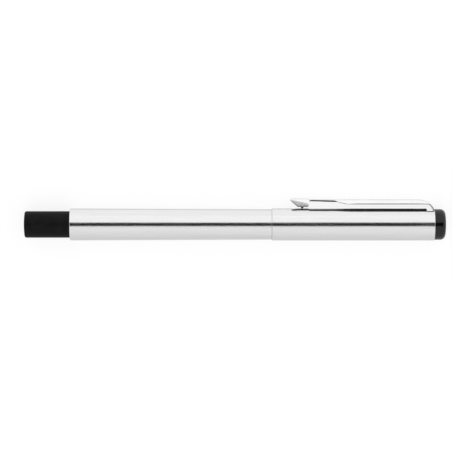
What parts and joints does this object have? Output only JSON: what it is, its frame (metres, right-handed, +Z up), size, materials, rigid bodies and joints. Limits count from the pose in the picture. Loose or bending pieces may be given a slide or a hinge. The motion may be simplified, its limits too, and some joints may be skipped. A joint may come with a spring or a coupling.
{
  "type": "rollerball pen",
  "caption": "Capped rollerball pen with brushed steel barrel and cap, black ends, a pocket clip and a replaceable capillary refill.",
  "frame": {"origin": "on the surface the pen lies on, under the middle of the capped pen's box", "axes": "+X along the pen to the cap's end, +Z up, +Y across the pen to the side that its clip is on; the pen has rolled over until its clip touches the surface, 110 degrees from up"},
  "size_m": [0.13, 0.013, 0.0099],
  "materials": {
    "tube_steel": "fine brushed stainless steel",
    "clip_steel": "satin spring steel",
    "turned_steel": "bright turned steel",
    "black_plastic": "satin black plastic",
    "thread_brass": "machined brass",
    "liner_plastic": "moulded plastic",
    "refill_plastic": "glossy white plastic",
    "refill_black": "glossy black plastic",
    "ink_fibre": "ink-soaked fibre",
    "spring_steel": "drawn spring wire",
    "carbide": "polished tungsten carbide"
  },
  "bodies": {
    "section": {"grip_section": "black_plastic", "section_thread_sleeve": "thread_brass", "nose_cone": "turned_steel"},
    "refill": {"refill_tube": "refill_plastic", "refill_end_plug": "refill_black", "ink_reservoir": "ink_fibre", "tip_holder": "refill_black", "feed_wick": "ink_fibre", "writing_tip": "turned_steel"},
    "ball": {"writing_ball": "carbide"},
    "barrel_seat": {"spring_seat": "liner_plastic"},
    "barrel_spring": {"refill_spring": "spring_steel"},
    "barrel": {"barrel_tube": "tube_steel", "tail_plug": "black_plastic", "barrel_thread_insert": "thread_brass"},
    "cap_liner": {"inner_cap": "liner_plastic"},
    "cap": {"cap_tube": "tube_steel", "clip_root": "clip_steel", "finial": "black_plastic", "finial_stud": "turned_steel"},
    "clip": {"clip_arm": "clip_steel"}
  },
  "joints": [
    {"name": "refill_float", "type": "slide", "parent": "section", "child": "refill", "axis": [-1, 0, 0], "range_m": [0, 0.0008], "stiffness_N_per_m": 300, "springref_m": -0.0017, "deforming": ["refill_spring"]},
    {"name": "ball_roll", "type": "hinge", "parent": "refill", "child": "ball", "pos_m": [0.05325, -0.00157, 0.00495], "axis": [0, 1, 0], "continuous": true},
    {"name": "barrel_draw", "type": "slide", "parent": "section", "child": "barrel_seat", "axis": [-1, 0, 0], "range_m": [0, 0.075]},
    {"name": "barrel_advance", "type": "slide", "parent": "barrel_seat", "child": "barrel_spring", "axis": [-1, 0, 0], "range_m": [0, 0.00625]},
    {"name": "barrel_turn", "type": "hinge", "parent": "barrel_spring", "child": "barrel", "pos_m": [-0.02, -0.00157, 0.00495], "axis": [-1, 0, 0], "range_deg": [0, 1800]},
    {"name": "cap_pull", "type": "slide", "parent": "section", "child": "cap_liner", "axis": [1, 0, 0], "range_m": [0, 0.055]},
    {"name": "cap_turn", "type": "hinge", "parent": "cap_liner", "child": "cap", "pos_m": [0.0364, -0.00157, 0.00495], "axis": [1, 0, 0], "continuous": true},
    {"name": "clip_flex", "type": "hinge", "parent": "cap", "child": "clip", "pos_m": [0.056, 0.00568, 0.00235], "axis": [0, -0.3372, -0.9414], "range_deg": [0, 4], "stiffness_Nm_per_rad": 2, "springref_deg": -1.15}
  ],
  "couplings": [
    {"joint": "barrel_advance", "follows": "barrel_turn", "m_per_rad": 0.00019894}
  ]
}
